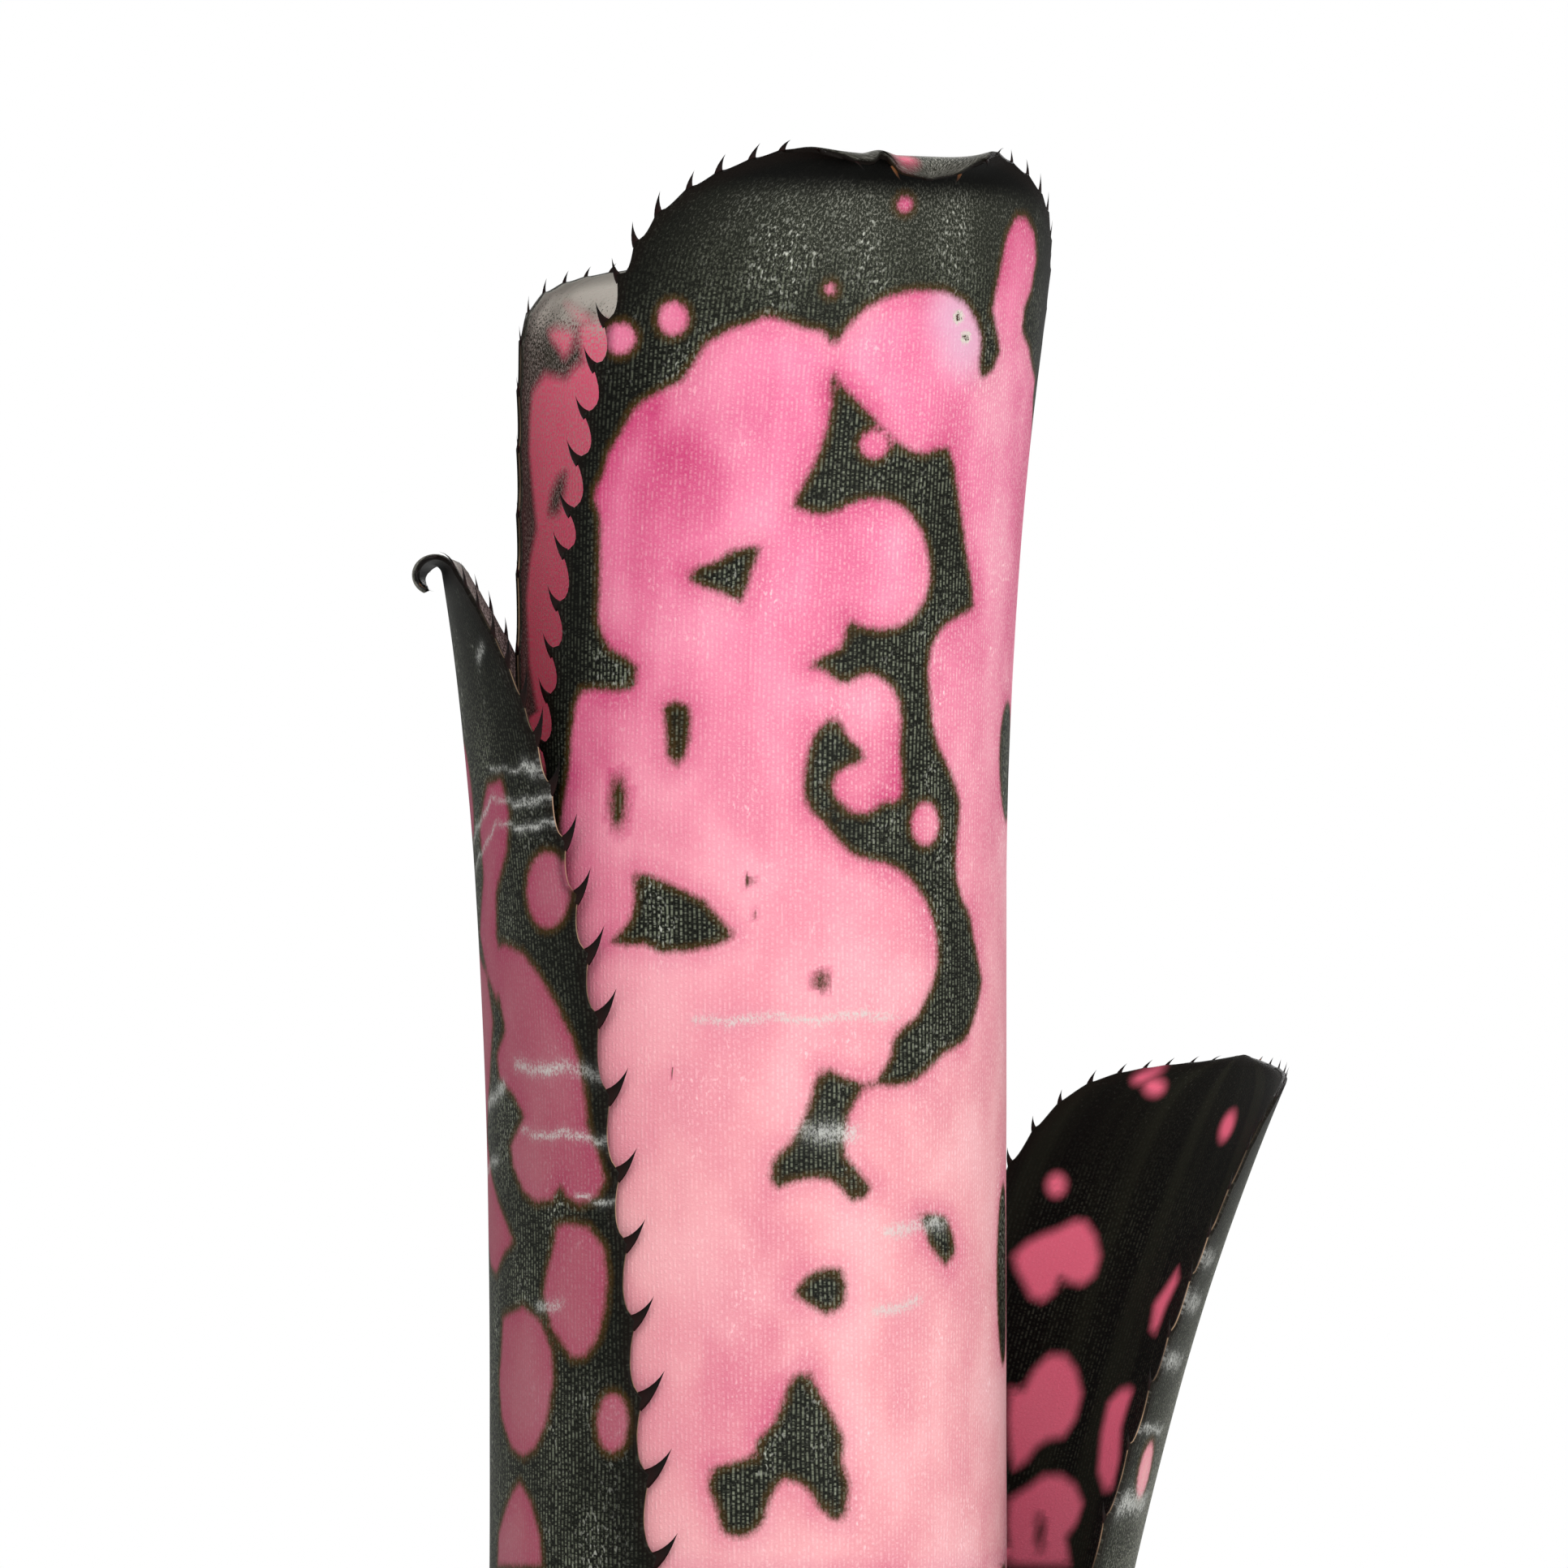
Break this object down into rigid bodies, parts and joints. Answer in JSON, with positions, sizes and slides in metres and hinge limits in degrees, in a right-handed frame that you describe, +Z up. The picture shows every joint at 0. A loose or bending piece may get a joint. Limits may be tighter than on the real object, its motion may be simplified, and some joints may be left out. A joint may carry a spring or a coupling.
{
  "type": "bromeliad",
  "caption": "Tubular bromeliad cut at its base: overlapping spiny-edged leaves, pink-blotched on near-black, rolled into an upright tube round a short stem.",
  "frame": {"origin": "middle of the flat cut at the base, on the surface that the plant stands on", "axes": "+Z up along the tube; -Y is the side that faces the camera in the picture, +X is its right"},
  "size_m": [0.1198, 0.1288, 0.3621],
  "materials": {
    "pink_blotched_leaf": "leathery leaf, pink blotches on near-black green, fine scale rows",
    "dark_spotted_leaf": "leathery leaf, near-black green with pink spots and grey scale bands",
    "stem_tissue": "pale fibrous cut stem"
  },
  "bodies": {
    "root": {"main_leaf": "pink_blotched_leaf", "back_leaf": "pink_blotched_leaf", "inner_leaf": "pink_blotched_leaf", "left_leaf": "dark_spotted_leaf", "right_leaf": "dark_spotted_leaf", "heart_leaf": "dark_spotted_leaf", "lower_front_leaf": "dark_spotted_leaf", "lower_back_leaf": "dark_spotted_leaf", "stem": "stem_tissue"}
  },
  "joints": []
}
